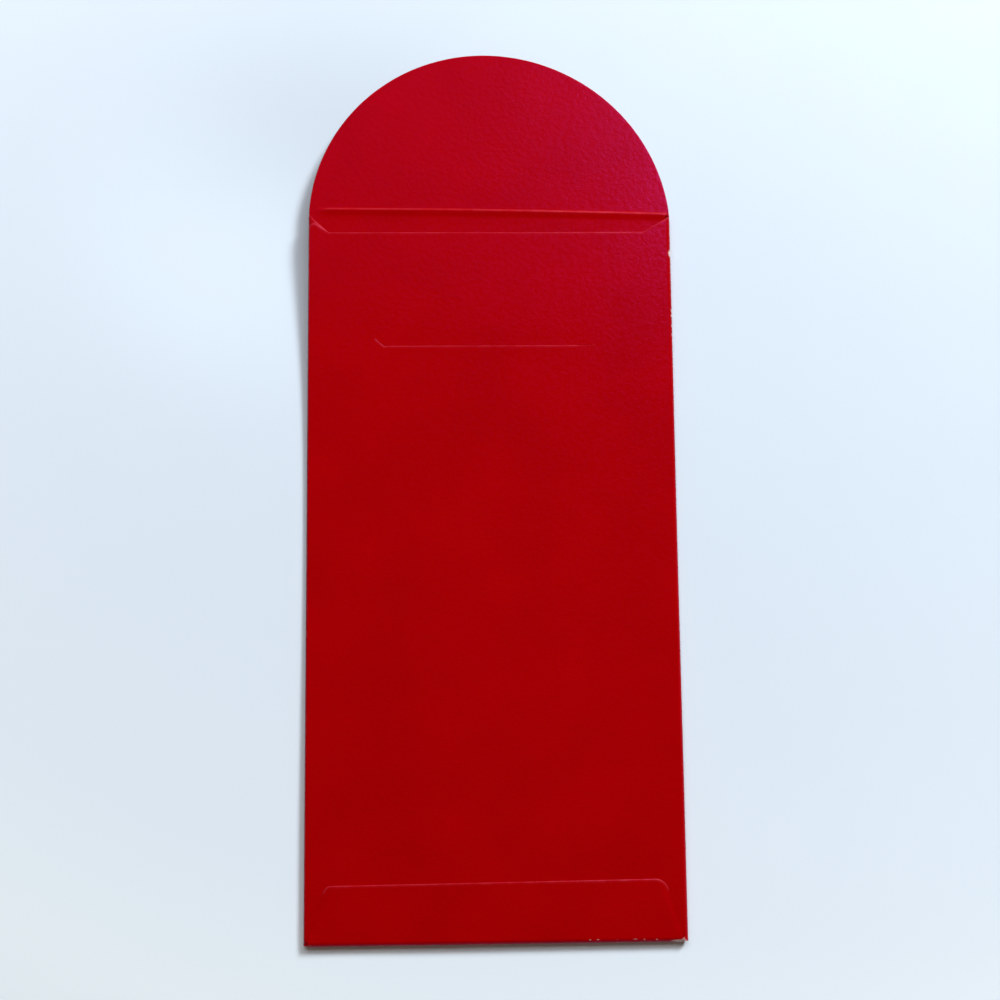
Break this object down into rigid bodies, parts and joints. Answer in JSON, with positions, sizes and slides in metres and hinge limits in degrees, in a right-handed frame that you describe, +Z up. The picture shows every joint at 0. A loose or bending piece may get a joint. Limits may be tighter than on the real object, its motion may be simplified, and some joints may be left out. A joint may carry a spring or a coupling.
{
  "type": "paper gift envelope",
  "caption": "Long red paper gift envelope: a flat folded pocket with a recessed mouth, a tuck slit across its back, a glued bottom flap and a rounded closing flap.",
  "frame": {"origin": "middle of the pocket between its side edges and between the bottom fold and the flap crease, on the table that the front panel lies on", "axes": "+X right across the back panel, +Y towards the tip of the open flap, +Z up from the table out of the back panel"},
  "size_m": [0.085, 0.2065, 0.0023],
  "materials": {
    "red_paper": "matt dyed paper with a fine grain",
    "dried_glue": "dried clear paste"
  },
  "bodies": {
    "pocket": {"front_panel": "red_paper", "right_fold": "red_paper", "back_panel": "red_paper", "left_fold": "red_paper", "seam_flap": "red_paper", "seam_glue": "dried_glue", "bottom_fold": "red_paper", "bottom_flap": "red_paper", "bottom_glue": "dried_glue", "flap_crease": "red_paper"},
    "flap": {"top_flap": "red_paper"}
  },
  "joints": [
    {"name": "flap_hinge", "type": "hinge", "parent": "pocket", "child": "flap", "pos_m": [0, 0.084, 0.00128], "axis": [1, 0, 0], "range_deg": [0, 180], "deforming": ["flap_crease"]}
  ]
}
